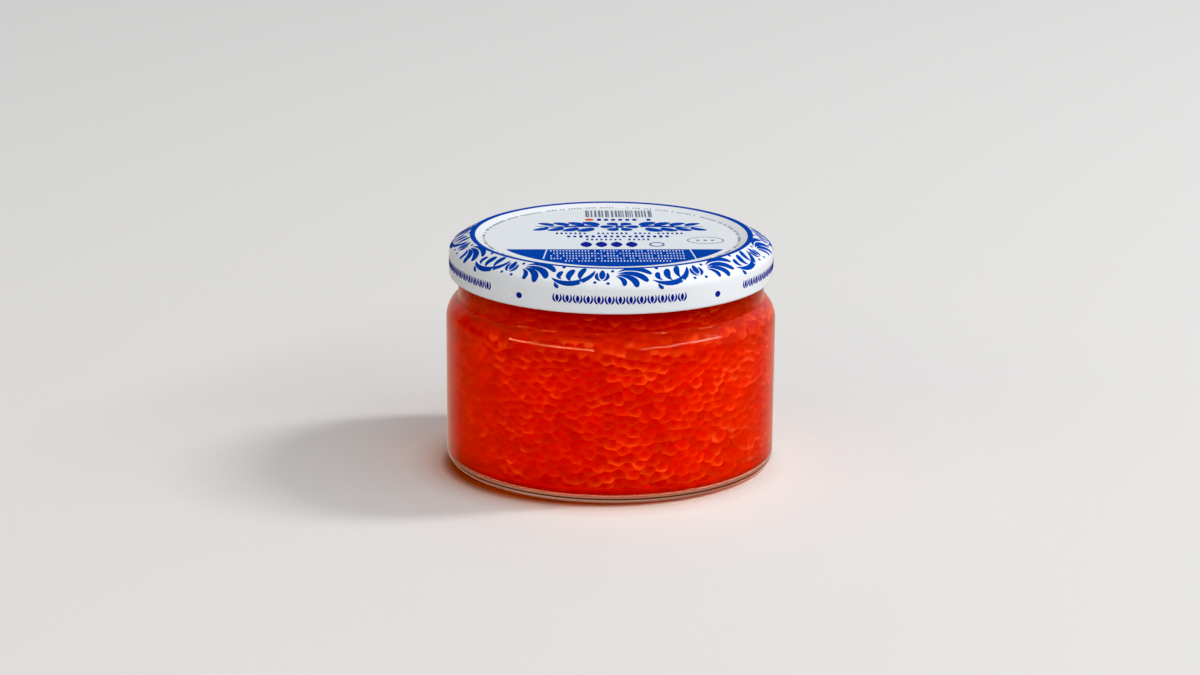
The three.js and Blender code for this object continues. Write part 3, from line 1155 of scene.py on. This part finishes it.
def makeSky():
    # The sky's strength runs by how far a direction points to the front, the right and up, and the side
    # behind is paler. Below the horizon is only what the glass mirrors in place of the floor.
    world = bpy.data.worlds.new("studio")
    world.use_nodes = True
    bpy.context.scene.world = world
    background = world.node_tree.nodes["Background"]
    direction = addNode(world, "ShaderNodeTexCoord").outputs["Generated"]
    toward = addNode(
        world, "ShaderNodeVectorMath", direction, operation="DOT_PRODUCT", inputs={1: studio["skyToward"]})
    axes = addNode(world, "ShaderNodeSeparateXYZ", direction).outputs
    sky = mapped(world, toward.outputs["Value"], *studio["skyPower"], *studio["skySpan"])
    behind = mapped(world, axes["Y"], 0, studio["backPower"], *studio["backSpan"])
    isSky = mapped(world, axes["Z"], 0, 1, -0.02, 0)
    power = addNode(world, "ShaderNodeMix", isSky, inputs={"A": studio["groundPower"]})
    link(world, sky, power.inputs["B"])
    total = addNode(world, "ShaderNodeMath", power.outputs["Result"], behind, operation="ADD")
    link(world, total.outputs[0], background.inputs["Strength"])
    colors = addNode(world, "ShaderNodeMix", isSky, data_type="RGBA")
    sockets = {socket.identifier: socket for socket in colors.inputs}
    sockets["A_Color"].default_value = (*studio["groundColor"], 1)
    sockets["B_Color"].default_value = (*studio["skyColor"], 1)
    link(world, colors.outputs[2], background.inputs["Color"])


# turn is degrees from the front to the right, rise degrees up, away and size metres, power watts
lamps = {
    "keyLamp": {"turn": 102, "rise": 45, "away": 2.5, "size": (0.26, 0.66), "power": 28},
    "frontRight": {"turn": 55, "rise": 33, "away": 1.4, "size": (1.7, 0.1), "power": 5.6},
    "frontLeft": {
        "turn": -45, "rise": 27, "away": 1.4, "size": (1.6, 0.16), "power": 1.8, "color": (1, 0.83, 0.66),
    },
    "arcRight": {
        "turn": 55, "rise": 34, "away": 1.4, "size": (1.5, 0.13), "power": 17, "color": (1, 0.8, 0.65),
        "mirrored": True,
    },
    "arcLeft": {
        "turn": -44, "rise": 30, "away": 1.4, "size": (1.7, 0.11), "power": 36, "color": (1, 0.4, 0.22),
        "mirrored": True,
    },
}


def makeLamps():
    # Rectangles that face the aim. Those called mirrored light nothing and are seen only in the jar's
    # surface, and the others aren't mirrored.
    onJar = bpy.data.collections.new("mirrored")
    onJar.objects.link(bpy.data.objects["glassJar"])
    for name, lamp in lamps.items():
        data = bpy.data.lights.new(name, "AREA")
        data.shape = "RECTANGLE"
        data.size, data.size_y = lamp["size"]
        data.energy = lamp["power"]
        data.color = lamp.get("color", (1, 1, 1))
        box = addObject(name, data)
        turn, rise = math.radians(lamp["turn"]), math.radians(lamp["rise"])
        toward = [math.sin(turn) * math.cos(rise), -math.cos(turn) * math.cos(rise), math.sin(rise)]
        place = np.array(toward) * lamp["away"]
        back = place - np.array(studio["aim"])
        back = back / np.linalg.norm(back)
        side = np.cross([0, 0, 1], back)
        side = side / np.linalg.norm(side)
        put(box, side, np.cross(back, side), back, place)
        mirrored = lamp.get("mirrored", False)
        box.visible_glossy = mirrored
        box.visible_diffuse = box.visible_transmission = not mirrored
        if mirrored:
            box.light_linking.receiver_collection = onJar
    print(f"studio: floor, sky and {len(lamps)} lamps")


def setBlack():
    # plain colours, with a black level
    settings = bpy.context.scene.view_settings
    settings.view_transform = "Standard"
    settings.use_curve_mapping = True
    settings.curve_mapping.black_level = studio["black"]
    settings.curve_mapping.update()


makeGlass()
makeEggs()
makeCore()
makeLiquid()
makeLid()
makePrint()
makeFloor()
makeSky()
makeLamps()
setBlack()
makeCamera()
